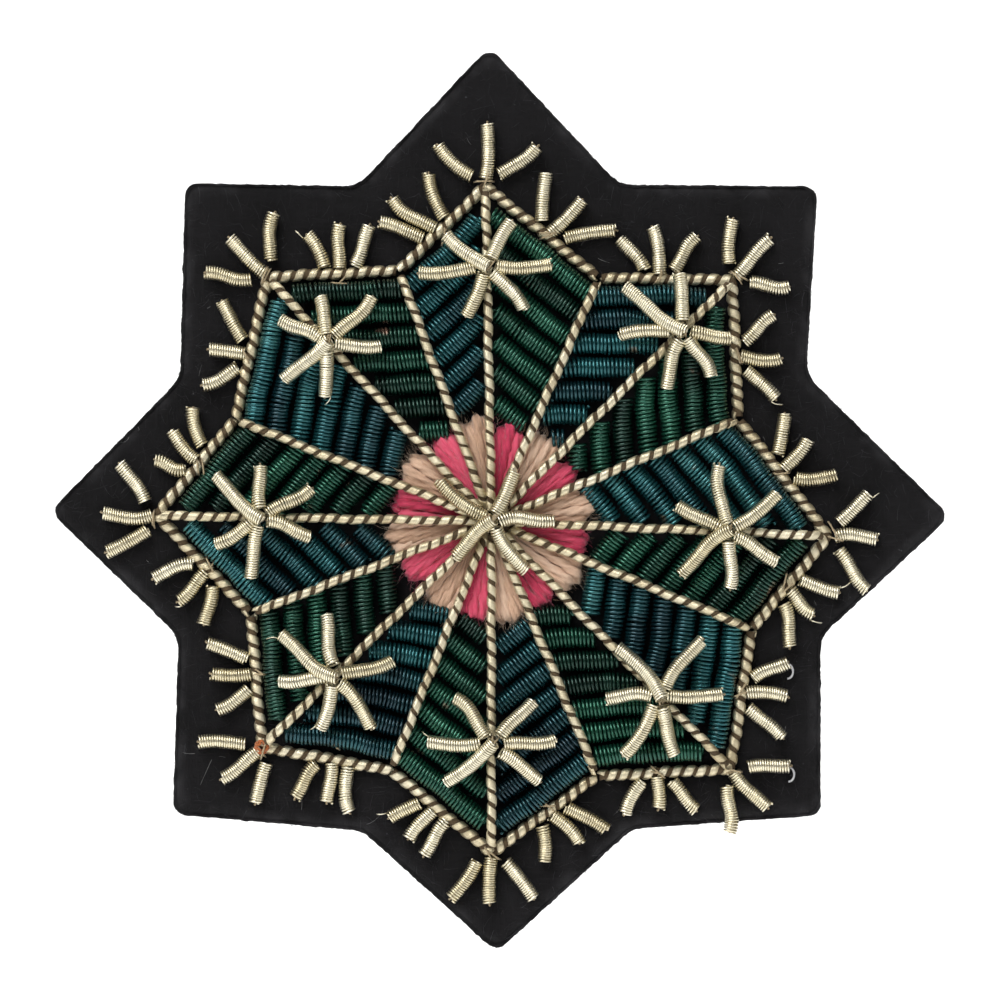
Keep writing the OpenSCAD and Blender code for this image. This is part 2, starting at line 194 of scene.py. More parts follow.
class Strands:
    """Gathers the skins of many round strands into one mesh.

    lay is each point's place round its strand (cosine, sine) and along it; tint is a number
    from 0 to 1 for each strand or point, which the materials turn into colour.
    """

    def __init__(self):
        self.points, self.quads, self.lays, self.tints, self.count = [], [], [], [], 0

    def add(self, rings, tint, along=None):
        """rings: array of rings x sides x 3.  The two ends are closed with a point each."""
        n, sides = rings.shape[:2]
        caps = np.stack([rings[0].mean(0), rings[-1].mean(0)])
        skin = np.concatenate([rings.reshape(-1, 3), caps])
        ring, side = np.meshgrid(np.arange(n - 1), np.arange(sides), indexing="ij")
        following = (side + 1) % sides
        quads = np.stack(
            [
                ring * sides + side,
                ring * sides + following,
                (ring + 1) * sides + following,
                (ring + 1) * sides + side,
            ],
            -1,
        ).reshape(-1, 4)
        k = np.arange(sides)
        first, last = n * sides, n * sides + 1
        base = (n - 1) * sides
        head, tail, none = (np.full(sides, i) for i in (first, last, -1))
        start = np.stack([(k + 1) % sides, k, head, none], -1)
        end = np.stack([base + k, base + (k + 1) % sides, tail, none], -1)
        faces = np.concatenate([quads, start, end])
        faces = np.where(faces >= 0, faces + self.count, -1)
        angle = np.arange(sides) * 2 * np.pi / sides
        if along is None:
            along = distance_along(rings.mean(1)) / MM
        lay = np.zeros((n, sides, 3))
        lay[..., 0] = np.cos(angle)
        lay[..., 1] = np.sin(angle)
        lay[..., 2] = along[:, None]
        ends = np.array([[0, 0, along[0]], [0, 0, along[-1]]])
        self.lays.append(np.concatenate([lay.reshape(-1, 3), ends]))
        shade = np.broadcast_to(np.asarray(tint, float).reshape(-1, 1), (n, sides))
        self.tints.append(np.concatenate([shade.reshape(-1), [shade[0, 0], shade[-1, 0]]]))
        self.points.append(skin)
        self.quads.append(faces)
        self.count += len(skin)

    def build(self, name, material, body="badge", replaces=(), slot=None):
        made = new_mesh(
            name,
            np.concatenate(self.points),
            np.concatenate(self.quads),
            material,
            np.concatenate(self.lays),
            np.concatenate(self.tints),
        )
        return settle(made, body, replaces)


def new_mesh(name, points, faces, material, lay=None, tint=None):
    """A smooth object from arrays: faces has four corners a row, the last -1 on a triangle."""
    mesh = bpy.data.meshes.new(name)
    sizes = (faces >= 0).sum(1)
    corners = faces[faces >= 0]
    mesh.vertices.add(len(points))
    mesh.vertices.foreach_set("co", points.astype(np.float32).ravel())
    mesh.loops.add(len(corners))
    mesh.loops.foreach_set("vertex_index", corners.astype(np.int32))
    mesh.polygons.add(len(faces))
    starts = np.concatenate([[0], np.cumsum(sizes)[:-1]])
    mesh.polygons.foreach_set("loop_start", starts.astype(np.int32))
    mesh.update(calc_edges=True)
    mesh.validate()
    mesh.polygons.foreach_set("use_smooth", np.ones(len(mesh.polygons), bool))
    if lay is not None:
        made = mesh.attributes.new("lay", "FLOAT_VECTOR", "POINT")
        made.data.foreach_set("vector", lay.astype(np.float32).ravel())
    if tint is not None:
        made = mesh.attributes.new("tint", "FLOAT", "POINT")
        made.data.foreach_set("value", tint.astype(np.float32))
    mesh.materials.append(material)
    obj = bpy.data.objects.new(name, mesh)
    bpy.context.scene.collection.objects.link(obj)
    return obj


def settle(obj, body, replaces=()):
    """Puts a finished piece on its CAD body and in place of its CAD nodes."""
    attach(obj, body)
    if replaces:
        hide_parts(*replaces)
    return obj


def frames(path):
    """Tangents and two cross directions along a path, turned as little as possible."""
    tangent = unit(np.gradient(path, axis=0))
    side = np.zeros_like(path)
    start = np.cross(tangent[0], FACE)
    if np.linalg.norm(start) < 0.1:
        start = np.cross(tangent[0], [1.0, 0.0, 0.0])
    side[0] = unit(start)
    for i in range(1, len(path)):
        turned = side[i - 1] - tangent[i] * (side[i - 1] @ tangent[i])
        side[i] = unit(turned)
    return tangent, side, np.cross(tangent, side)


def smooth_path(corners, step, rounding=0.0):
    """Even points along straight runs between corners, with the corners rounded."""
    corners = np.asarray(corners, float)
    total = distance_along(corners)
    n = max(int(total[-1] / step) + 1, 4)
    at = np.linspace(0, total[-1], n)
    path = read_at(at, total, corners)
    if rounding:
        reach = max(int(rounding / step), 1)
        kernel = np.hanning(2 * reach + 3)[1:-1]
        kernel /= kernel.sum()
        padded = np.concatenate(
            [
                path[0] - (path[1] - path[0]) * np.arange(reach, 0, -1)[:, None],
                path,
                path[-1] + (path[-1] - path[-2]) * np.arange(1, reach + 1)[:, None],
            ]
        )
        path = np.stack([np.convolve(padded[:, i], kernel, "valid") for i in range(3)], -1)
    return path


def wander(path, rng, amount, wavelength):
    """Bends a path in and out of line by a little, as a hand lays it; its ends stay."""
    _, side, up = frames(path)
    at = distance_along(path)
    share = at / at[-1]
    hold = np.clip(np.minimum(share, 1 - share) * at[-1] / (0.4 * wavelength), 0, 1)
    for direction, part in ((side, 1.0), (up, 0.5)):
        sway = np.zeros(len(path))
        for octave in (1, 2.3):
            phase = rng.uniform(0, 2 * np.pi)
            sway += np.sin(at * 2 * np.pi * octave / wavelength + phase) / octave
        path = path + direction * (sway * hold * amount * part * 0.6)[:, None]
    return path


def round_rings(path, radius, sides, ridges=0, ridge=0.0, twist=0.0):
    """Rings of a round strand along a path; ridges and twist (radians a metre) mark its yarns."""
    _, side, up = frames(path)
    at = distance_along(path)
    angle = np.arange(sides) * 2 * np.pi / sides
    radius = np.broadcast_to(np.asarray(radius, float), (len(path),))[:, None]
    if ridges:
        radius = radius * (1 + ridge * np.cos(ridges * (angle[None] + twist * at[:, None])))
    else:
        radius = np.repeat(radius, sides, axis=1)
    across = side[:, None] * np.cos(angle)[None, :, None]
    across = across + up[:, None] * np.sin(angle)[None, :, None]
    return path[:, None] + across * radius[..., None]


def read_at(where, at, values):
    """What a row of vectors, known at some distances, would be at others."""
    return np.stack([np.interp(where, at, values[:, i]) for i in range(3)], -1)


def coil_rings(path, radius, wire, pitch, rng, per_turn=14, sides=6, loose=0.0, uneven=0.15):
    """Rings of a close coil of wire wound round a path, with turns a little uneven."""
    tangent, side, up = frames(path)
    at = distance_along(path)
    turns = at[-1] / pitch
    n = max(int(turns * per_turn), 8)
    turn = np.linspace(0, turns, n)
    # Turns crowd and open along the coil, and open a little more at its cut ends
    push = np.zeros(n)
    for octave in range(1, 5):
        push += rng.normal() * np.sin(np.pi * octave * turn / 9 + rng.uniform(0, 6)) / octave
    edge = np.exp(-turn / 1.2) - np.exp(-(turns - turn) / 1.2)
    where = turn * pitch + push * pitch * uneven - edge * pitch * loose
    where = np.clip(np.maximum.accumulate(where), -pitch, at[-1] + pitch)
    centre, t, s, u = (read_at(where, at, a) for a in (path, tangent, side, up))
    beyond = (where - np.clip(where, 0, at[-1]))[:, None]
    centre = centre + t * beyond
    phase = 2 * np.pi * turn + rng.uniform(0, 2 * np.pi)
    out = unit(s * np.cos(phase)[:, None] + u * np.sin(phase)[:, None])
    swell = 1 + 0.02 * np.sin(turn * 0.7 + rng.uniform(0, 6)) + rng.normal(0, 0.008, n)
    middle = centre + out * ((radius - wire) * swell)[:, None]
    run = unit(np.gradient(middle, axis=0))
    across = unit(np.cross(run, out))
    angle = np.arange(sides) * 2 * np.pi / sides
    ring = out[:, None] * np.cos(angle)[None, :, None]
    ring = ring + across[:, None] * np.sin(angle)[None, :, None]
    return middle[:, None] + ring * wire, where / MM


def wrap_rings(path, radius, half_width, half_thick, pitch, rng, per_turn=20, sides=14):
    """Rings of a flat ply wound round a path with one turn every pitch, leaving gaps."""
    _, side, up = frames(path)
    at = distance_along(path)
    turns = at[-1] / pitch
    n = int(turns * per_turn)
    turn = np.linspace(0, turns, n)
    # The winding is a little tighter here and looser there
    drift = 0.09 * np.sin(turn / 2.9 + rng.uniform(0, 6))
    drift = drift + 0.05 * np.sin(turn / 0.9 + rng.uniform(0, 6))
    where = np.clip((turn + drift) * pitch, 0, at[-1])
    centre, s, u = (read_at(where, at, a) for a in (path, side, up))
    phase = -2 * np.pi * turn + rng.uniform(0, 2 * np.pi)
    out = unit(s * np.cos(phase)[:, None] + u * np.sin(phase)[:, None])
    middle = centre + out * (radius - half_thick)
    run = unit(np.gradient(middle, axis=0))
    across = unit(np.cross(run, out))
    angle = np.arange(sides) * 2 * np.pi / sides
    # The ply's section is a little squarer than an ellipse
    flat = np.sign(np.cos(angle)) * np.abs(np.cos(angle)) ** 0.95
    wide = np.sign(np.sin(angle)) * np.abs(np.sin(angle)) ** 0.8
    sway = 0.07 * np.sin(turn * 1.7 + rng.uniform(0, 6))
    breadth = half_width * (1 + sway + rng.normal(0, 0.012, n))
    rings = middle[:, None] + out[:, None] * (flat * half_thick)[None, :, None]
    rings = rings + across[:, None] * (breadth[:, None] * wide[None])[..., None]
    return rings, where / MM


# ---------- materials ----------


class Recipe:
    """A node material under construction: a Principled shader and what feeds it.

    Noise scales are cells to a metre on place, and cells to a unit on lay.
    """

    def __init__(self, name, **constants):
        self.material = bpy.data.materials.new(name)
        self.material.use_nodes = True
        self.nodes = self.material.node_tree.nodes
        self.links = self.material.node_tree.links
        self.shader = self.nodes["Principled BSDF"]
        for socket, value in constants.items():
            self.shader.inputs[socket.replace("_", " ")].default_value = value

    def node(self, kind, **settings):
        made = self.nodes.new("ShaderNode" + kind)
        for key, value in settings.items():
            setattr(made, key, value)
        return made

    def place(self):
        """The object's own coordinates, in metres."""
        return self.node("TexCoord").outputs["Object"]

    def lay(self):
        return self.node("Attribute", attribute_name="lay").outputs["Vector"]

    def tint(self):
        return self.node("Attribute", attribute_name="tint").outputs["Fac"]

    def stretched(self, vector, scale):
        mapping = self.node("Mapping")
        mapping.inputs["Scale"].default_value = scale
        self.links.new(vector, mapping.inputs["Vector"])
        return mapping.outputs["Vector"]

    def noise(self, vector, scale, detail=3.0, roughness=0.55):
        made = self.node("TexNoise")
        made.inputs["Scale"].default_value = scale
        made.inputs["Detail"].default_value = detail
        made.inputs["Roughness"].default_value = roughness
        self.links.new(vector, made.inputs["Vector"])
        return made.outputs["Fac"]

    def ramp(self, value, stops):
        made = self.node("ValToRGB")
        elements = made.color_ramp.elements
        while len(elements) < len(stops):
            elements.new(0.5)
        for element, (position, colour) in zip(elements, stops):
            element.position = position
            element.color = (*colour, 1.0)
        self.links.new(value, made.inputs["Fac"])
        return made.outputs["Color"]

    def math(self, operation, a, b):
        made = self.node("Math", operation=operation)
        for socket, value in zip(made.inputs, (a, b)):
            if isinstance(value, (int, float)):
                socket.default_value = value
            else:
                self.links.new(value, socket)
        return made.outputs["Value"]

    def blend(self, a, a_share, b, b_share):
        parts = self.math("MULTIPLY", a, a_share), self.math("MULTIPLY", b, b_share)
        return self.math("ADD", *parts)

    def mask(self, value, low, high):
        """Black below low, white above high."""
        return self.ramp(value, [(low, (0, 0, 0)), (high, (1, 1, 1))])

    def mix(self, share, a, b):
        made = self.node("Mix", data_type="RGBA")
        for socket, value in (("Factor", share), ("A", a), ("B", b)):
            found = [i for i in made.inputs if i.name == socket and i.enabled][0]
            if isinstance(value, (int, float)):
                found.default_value = value
            elif isinstance(value, tuple):
                found.default_value = (*value, 1.0)
            else:
                self.links.new(value, found)
        return [o for o in made.outputs if o.enabled][0]

    def colour(self, value):
        self.links.new(value, self.shader.inputs["Base Color"])
        return self

    def rough(self, value, low, high):
        made = self.node("MapRange")
        made.inputs["To Min"].default_value = low
        made.inputs["To Max"].default_value = high
        self.links.new(value, made.inputs["Value"])
        self.links.new(made.outputs["Result"], self.shader.inputs["Roughness"])
        return self

    def bump(self, height, distance, strength=1.0):
        made = self.node("Bump")
        made.inputs["Strength"].default_value = strength
        made.inputs["Distance"].default_value = distance
        self.links.new(height, made.inputs["Height"])
        self.links.new(made.outputs["Normal"], self.shader.inputs["Normal"])
        return self


def purl_material(name, deep, body, glint, odd):
    """Lacquered wire: the colour drifts along each coil, and here and there bare wire shows."""
    r = Recipe(name, Metallic=0.75, Specular_IOR_Level=0.6, Coat_Weight=0.35, Coat_Roughness=0.14)
    drift = r.noise(r.place(), 260, 3)
    tone = r.math("SUBTRACT", r.blend(r.tint(), 0.7, drift, 0.6), 0.3)
    base = r.ramp(tone, [(0.12, deep), (0.5, body), (0.95, glint)])
    worn = r.mask(r.noise(r.place(), 300, 4), 0.66, 0.74)
    r.colour(r.mix(worn, base, odd))
    r.rough(r.noise(r.place(), 2600, 2), 0.14, 0.34)
    return r.bump(r.noise(r.lay(), 9, 2), 0.02 * MM, 0.4).material


def gold_wire_material():
    """Bright gilt wire, duller in some coils and places than in others."""
    r = Recipe("gold_wire", Metallic=1.0, Specular_IOR_Level=0.6)
    tone = r.blend(r.tint(), 0.6, r.noise(r.place(), 700, 3), 0.5)
    dull, plain, bright = (0.46, 0.39, 0.24), (0.74, 0.67, 0.48), (0.90, 0.85, 0.69)
    r.colour(r.ramp(tone, [(0.1, dull), (0.45, plain), (0.9, bright)]))
    r.rough(r.noise(r.place(), 900, 3), 0.22, 0.42)
    return r.bump(r.noise(r.stretched(r.lay(), (3, 3, 1.5)), 4, 2), 0.015 * MM, 0.35).material


def cord_material():
    """Gilt thread: fine threads run along each ply, and the gilt is worn brown in places."""
    r = Recipe("gold_cord", Metallic=0.8, Specular_IOR_Level=0.5)
    threads = r.noise(r.stretched(r.lay(), (5, 5, 0.5)), 3.0, 2)
    soil = r.noise(r.place(), 180, 4)
    tone = r.blend(threads, 0.5, soil, 0.5)
    brown, gilt, pale = (0.30, 0.22, 0.11), (0.68, 0.59, 0.39), (0.88, 0.82, 0.64)
    r.colour(r.ramp(tone, [(0.32, brown), (0.46, gilt), (0.68, pale)])).rough(threads, 0.22, 0.46)
    return r.bump(threads, 0.05 * MM, 0.7).material


def core_material():
    r = Recipe("cord_core", Roughness=0.9)
    fibres = r.noise(r.stretched(r.lay(), (4, 4, 1)), 4, 3)
    r.colour(r.ramp(fibres, [(0.3, (0.035, 0.022, 0.010)), (0.7, (0.13, 0.085, 0.04))]))
    return r.bump(fibres, 0.05 * MM).material


def silk_material(name, deep, body, light):
    """Satin stitch: fine fibres run along each strand with a slight twist."""
    r = Recipe(name, Roughness=0.5, Sheen_Weight=0.35, Sheen_Roughness=0.4, Specular_IOR_Level=0.35)
    fibres = r.noise(r.stretched(r.lay(), (5, 5, 0.7)), 3.2, 3)
    tone = r.blend(fibres, 0.7, r.tint(), 0.3)
    r.colour(r.ramp(tone, [(0.25, deep), (0.5, body), (0.8, light)]))
    return r.bump(fibres, 0.07 * MM, 0.9).material


def felt_material(name, deep, body, lint, worn):
    """Matted wool: soft mottling, short fibres in every direction, pale specks, and a rim painted
    lighter in patches, both for wear and as a painted highlight.
    """
    r = Recipe(name, Roughness=0.95, Sheen_Weight=0.1, Sheen_Roughness=0.5, Specular_IOR_Level=0.2)
    mottle = r.noise(r.place(), 160, 5, 0.6)
    fibre_a = r.noise(r.stretched(r.place(), (1, 1, 0.16)), 3600, 3)
    fibre_b = r.noise(r.stretched(r.place(), (0.16, 1, 1)), 3600, 3)
    fibres = r.math("MAXIMUM", fibre_a, fibre_b)
    tone = r.blend(mottle, 0.5, fibres, 0.5)
    base = r.ramp(tone, [(0.35, deep), (0.7, body)])
    # Near the rim the colour turns lighter in patches: partly worn felt, partly a painted highlight
    # on the edge
    rim = r.mask(r.tint(), 0.955, 0.995)
    worn_and_lit_patches = r.mask(r.noise(r.place(), 420, 4), 0.42, 0.66)
    base = r.mix(r.math("MULTIPLY", rim, worn_and_lit_patches), base, worn)
    specks = r.mask(r.noise(r.place(), 2300, 2), 0.75, 0.80)
    r.colour(r.mix(specks, base, lint))
    return r.bump(fibres, 0.12 * MM, 0.9).material


def hair_material(name, low, high):
    r = Recipe(name, Roughness=0.9)
    return r.colour(r.ramp(r.tint(), [(0.0, low), (1.0, high)])).material


def thread_material():
    r = Recipe("sewing_thread", Roughness=0.6, Sheen_Weight=0.2)
    fibres = r.noise(r.stretched(r.lay(), (4, 4, 1)), 3, 3)
    r.colour(r.ramp(fibres, [(0.3, (0.22, 0.15, 0.07)), (0.7, (0.62, 0.50, 0.30))]))
    return r.bump(fibres, 0.03 * MM).material


def card_material():
    r = Recipe("card", Roughness=0.9)
    weave = r.noise(r.stretched(r.place(), (1, 0.3, 1)), 1500, 3)
    r.colour(r.ramp(weave, [(0.3, (0.016, 0.015, 0.014)), (0.7, (0.05, 0.046, 0.042))]))
    return r.bump(weave, 0.05 * MM).material


def plated_material(name, low, high):
    """Nickel plate: fine scratches, dull spots and darker metal where the plate is thin."""
    r = Recipe(name, Metallic=1.0)
    scratches = r.noise(r.stretched(r.place(), (1, 0.12, 1)), 5200, 3)
    spots = r.noise(r.place(), 700, 5, 0.65)
    tone = r.blend(scratches, 0.4, spots, 0.6)
    r.colour(r.ramp(tone, [(0.32, low), (0.6, high)])).rough(tone, 0.2, 0.5)
    return r.bump(scratches, 0.01 * MM, 0.5).material


def stage_material():
    r = Recipe("studio_paper", Roughness=0.9)
    grain = r.noise(r.place(), 40, 2)
    r.colour(r.ramp(grain, [(0.3, (0.90, 0.90, 0.90)), (0.7, (0.93, 0.93, 0.93))]))
    return r.material


# ---------- felt ----------


def felt_outline(node, angles):
    """The star's radius at each angle round its middle, from the CAD felt's own outline."""
    points, _ = node_points(node)
    front = points[np.abs(points[:, 1] - points[:, 1].min()) < 0.01 * MM][:, [0, 2]]
    # The pierced holes lie well inside the star's outline
    reach = np.hypot(front[:, 0], front[:, 1])
    front = front[reach > reach.max() / 2]
    bearing = np.arctan2(front[:, 1], front[:, 0])
    rim = np.argsort(bearing)
    front, bearing = front[rim], bearing[rim]
    front = np.concatenate([front[-1:], front, front[:1]])
    bearing = np.concatenate([bearing[-1:] - 2 * np.pi, bearing, bearing[:1] + 2 * np.pi])
    at = (angles + np.pi) % (2 * np.pi) - np.pi
    i = np.clip(np.searchsorted(bearing, at) - 1, 0, len(bearing) - 2)
    a, b = front[i], front[i + 1]
    ray = np.stack([np.cos(at), np.sin(at)], -1)
    edge = b - a
    cross = ray[:, 0] * edge[:, 1] - ray[:, 1] * edge[:, 0]
    return (a[:, 0] * edge[:, 1] - a[:, 1] * edge[:, 0]) / cross


def rumple(points, rng, wavelength, waves=18):
    """Smooth random height at each point, from about -1 to 1."""
    total = np.zeros(len(points))
    for _ in range(waves):
        way = unit(rng.normal(size=3))
        stretch = rng.uniform(0.6, 1.8)
        total += np.sin(points @ way * 2 * np.pi * stretch / wavelength + rng.uniform(0, 2 * np.pi))
    return total / math.sqrt(waves)


def felt_slab(name, node, material, bulge):
    """A layer of felt or card: a cut star with soft faces and a slightly ragged edge.

    Returns the piece, its flat width and height, and its area.
    """
    rng = luck(name)
    lo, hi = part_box(node)
    around, across = FELT_AROUND, FELT_ACROSS
    angles = np.arange(around) * 2 * np.pi / around
    radius = felt_outline(node, angles)
    rounding = min(FELT_ROUNDING, (hi.y - lo.y) * 0.25)
    inset = np.array([1, 0.72, 0.38, 0.12, 0.0])
    sink = 1 - np.sqrt(1 - (1 - inset) ** 2)
    plain = np.linspace(0.02, 0.985, across)[:, None] * radius[None]
    turned = radius[None] - rounding * inset[:, None]
    wall = np.linspace(lo.y + rounding, hi.y - rounding, 5)[1:-1]
    upright = np.repeat(radius[None], len(wall), 0)
    spread = np.concatenate([plain, turned, upright, turned[::-1], plain[::-1]])
    front = [np.full(across, lo.y), lo.y + rounding * sink[::-1]]
    depth = np.concatenate([*front, wall, hi.y - rounding * sink, np.full(across, hi.y)])
    n = len(spread)
    flat = ring_points(spread, angles, depth[:, None]).reshape(-1, 3)
    outward = np.sign(flat[:, 1] - (lo.y + hi.y) / 2)
    flat[:, 1] += outward * bulge * (0.5 * rumple(flat, rng, FELT_WAVE) - 0.5)
    ragged = ring_points(1.0, angles, 0.0)
    nap = rumple(flat, rng, FELT_NAP).reshape(n, around)
    near_rim = np.clip((spread / radius - 0.97) / 0.03, 0, 1)
    flat += (ragged[None] * (nap * near_rim * bulge * 0.9)[..., None]).reshape(-1, 3)
    share = (spread / radius).reshape(-1)
    ring, side = np.meshgrid(np.arange(n - 1), np.arange(around), indexing="ij")
    following = (side + 1) % around
    corners = [
        ring * around + side,
        (ring + 1) * around + side,
        (ring + 1) * around + following,
        ring * around + following,
    ]
    faces = np.stack(corners, -1).reshape(-1, 4)
    k = np.arange(around)
    first, last, none = (np.full(around, i) for i in (len(flat), len(flat) + 1, -1))
    flat = np.concatenate([flat, [[0, lo.y, 0], [0, hi.y, 0]]])
    base = (n - 1) * around
    front_hub = np.stack([(k + 1) % around, first, k, none], -1)
    back_hub = np.stack([base + k, last, base + (k + 1) % around, none], -1)
    faces = np.concatenate([faces, front_hub, back_hub])
    slab = new_mesh(name, flat, faces, material, tint=np.concatenate([share, [0, 0]]))
    settle(slab, "badge", [node])
    cut = ring_points(radius, angles, 0.0)
    ahead = np.roll(cut, -1, axis=0)
    area = abs((cut[:, 0] * ahead[:, 2] - cut[:, 2] * ahead[:, 0]).sum() / 2)
    return slab, (hi.x - lo.x, hi.z - lo.z), area


def lay_felts():
    """The face and backing cloths lie flat on the card between them."""
    # worn is the lighter rim colour: worn felt and a painted highlight on the edge
    lint, worn = (0.05, 0.05, 0.055), (0.026, 0.025, 0.027)
    black = ((0.0022, 0.0020, 0.0023), (0.0078, 0.0072, 0.0082))
    backing = ((0.0034, 0.0032, 0.0034), (0.0110, 0.0102, 0.0110))
    face = felt_material("black_felt", *black, lint, worn)
    back = felt_material("backing_felt", *backing, lint, worn)
    card, _, _ = felt_slab("card_layer", "stiffener", card_material(), 0.02 * MM)
    for name, node, look, slot in (
        ("face_cloth", "face_felt", face, "black_felt"),
        ("backing_cloth", "back_felt", back, "backing_felt"),
    ):
        cloth, flat, area = felt_slab(name, node, look, 0.06 * MM)


def hairs(strands, roots, directions, rng, length, radius, curl, tint):
    """Short curved fibres, one from each root."""
    count = len(roots)
    reach = rng.uniform(*length, count)
    bend = unit(rng.normal(size=(count, 3))) * curl
    t = np.linspace(0, 1, 5)
    width = radius * (1 - 0.7 * t)
    for i in range(count):
        line = roots[i] + np.outer(t * reach[i], directions[i])
        line = line + np.outer(t**2 * reach[i], bend[i])
        strands.add(round_rings(line, width, 3), tint[i])


def felt_fuzz():
    """Loose fibres on the felt's face, back and cut edge, and a little pale lint."""
    rng = luck("fuzz")
    face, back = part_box("face_felt")[0].y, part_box("back_felt")[1].y
    wool_look = hair_material("wool_fibre", (0.006, 0.006, 0.007), (0.07, 0.07, 0.078))

    def spots(count, low=0.0):
        angles = rng.uniform(0, 2 * np.pi, count)
        radius = felt_outline("face_felt", angles)
        share = np.sqrt(rng.uniform(low**2, 1, count)) * 0.99
        return angles, radius * share

    # The face's middle is covered, so its fibres start half way out
    for name, depth, out, low, count in (
        ("face", face, -1.0, 0.5, 5200),
        ("back", back, 1.0, 0.0, 2400),
    ):
        angles, radius = spots(count, low)
        roots = ring_points(radius, angles, depth)
        way = rng.normal(size=(count, 3))
        way[:, 1] = out * np.abs(rng.normal(0.16, 0.2, count))
        wool = Strands()
        pale = rng.uniform(0, 1, count) ** 2.5
        hairs(wool, roots, unit(way), rng, (0.4 * MM, 1.6 * MM), FACE_FIBRE, 0.35, pale)
        wool.build(f"{name}_fibres", wool_look, slot="black_felt")
    count = 6200
    angles = rng.uniform(0, 2 * np.pi, count)
    radius = felt_outline("face_felt", angles)
    depth = rng.uniform(face + 0.1 * MM, back - 0.1 * MM, count)
    roots = ring_points(radius, angles, depth)
    way = ring_points(1.0, angles, 0.0) * 0.8
    way += rng.normal(0, 0.6, (count, 3))
    wool = Strands()
    pale = rng.uniform(0.2, 1, count) ** 2
    rooted = roots - way * 0.1 * MM
    hairs(wool, rooted, unit(way), rng, (0.15 * MM, 0.6 * MM), EDGE_FIBRE, 0.4, pale)
    wool.build("edge_fibres", wool_look, slot="black_felt")
    count = 60
    angles, radius = spots(count, 0.6)
    roots = ring_points(radius, angles, face - 0.04 * MM)
    way = rng.normal(size=(count, 3))
    way[:, 1] = -0.1
    lint = Strands()
    pale = rng.uniform(0, 1, count)
    hairs(lint, roots, unit(way), rng, (0.3 * MM, 1.5 * MM), LINT_FIBRE, 0.7, pale)
    lint_look = hair_material("lint_fibre", (0.12, 0.12, 0.13), (0.5, 0.5, 0.49))
    lint.build("lint", lint_look, slot="black_felt")


# ---------- cords ----------


def rope(gilt, core, path, diameter, turn, rng):
    """A dark core wound with one flat gilt ply; turn is the distance between its turns."""
    path = smooth_path(path, 0.09 * MM, 0.5 * MM)
    path = wander(path, rng, 0.07 * MM, 6 * MM)
    width, thickness = turn * PLY_HALF_WIDTH, diameter * PLY_HALF_THICK
    rings, along = wrap_rings(path, diameter * PLY_RADIUS, width, thickness, turn, rng)
    gilt.add(rings, rng.uniform(0.3, 0.9), along)
    yarns = round_rings(path, diameter * CORE_RADIUS, sides=10, ridges=5, ridge=0.10, twist=-1500)
    core.add(yarns, rng.uniform(0, 1))


def outline_path(node):
    """The two arms of an outline cord and the fold between them."""
    one, two = (rod_ends(p) for p in solids(node))
    gaps = [(np.linalg.norm(a - b), i, j) for i, a in enumerate(one) for j, b in enumerate(two)]
    _, i, j = min(gaps)
    return [one[1 - i], (one[i] + two[j]) / 2, two[1 - j]]


def dipped(a, b, start_drop, end_drop, run):
    """A straight laid line whose ends sink towards the felt over a short run."""
    length = np.linalg.norm(b - a)
    u = (b - a) / length
    sink = -FACE
    return [
        a + sink * start_drop,
        a + u * run + sink * start_drop * 0.25,
        a + u * run * 1.8,
        b - u * run * 1.8,
        b - u * run * 0.8 + sink * end_drop * 0.45,
        b + sink * end_drop,
    ]


def embroider_cords():
    material, core_look = cord_material(), core_material()
    for k in PETALS:
        node = f"outline_cord_{k}"
        gilt, core = Strands(), Strands()
        rope(gilt, core, outline_path(node), OUTLINE_D, OUTLINE_TURN, luck(node))
        gilt.build(f"outline_{k}", material, "badge", [node], "gold_cord")
        core.build(f"outline_core_{k}", core_look, slot="gold_cord")
    # All the cords run on to the middle, where the dividers lie under the veins
    for node, start_drop, end_drop in (("vein_cords", 0.15, 0.8), ("divider_cords", 0.85, 0.9)):
        gilt, core = Strands(), Strands()
        for i, (a, b) in enumerate(rods(node)):
            rng = luck(f"{node}{i}")
            start = CENTRE + unit(a - CENTRE) * rng.uniform(0.8, 1.5) * MM
            line = dipped(start, b, CORD_D * start_drop, CORD_D * end_drop, 0.9 * MM)
            rope(gilt, core, line, CORD_D, CORD_TURN, rng)
        gilt.build(node.replace("_cords", "s"), material, "badge", [node], "gold_cord")
        core.build(node.replace("_cords", "_cores"), core_look, slot="gold_cord")


# ---------- coloured purl ----------


def purl_rows(node):
    """Each length's two ends, from the petal's edge inwards, and on to where the satin covers it."""
    lines = sorted(rods(node), key=lambda ends: -off_centre(ends[0] + ends[1] - CENTRE))
    # The first end is the one on the vein, which is further from the middle
    lines = [(a, b) if off_centre(a) > off_centre(b) else (b, a) for a, b in lines]
    way = unit(lines[0][1] - lines[0][0])
    step_a, step_b = (lines[1][i] - lines[0][i] for i in (0, 1))
    covered = rosette_radius() + 0.3 * MM
    rows = []
    for i in range(len(lines) + 2):
        a, b = lines[0][0] + step_a * i, lines[0][1] + step_b * i
        if off_centre(a) < covered or (b - a) @ way < PURL_D * 0.6:
            break
        # A length that meets the rosette stops there
        span = np.linspace(0, 1, 60)
        inside = [t for t in span if off_centre(a + (b - a) * t) < covered]
        if inside:
            b = a + (b - a) * min(inside)
        if np.linalg.norm(b - a) > PURL_D * 0.5:
            rows.append((a, b))
    return rows


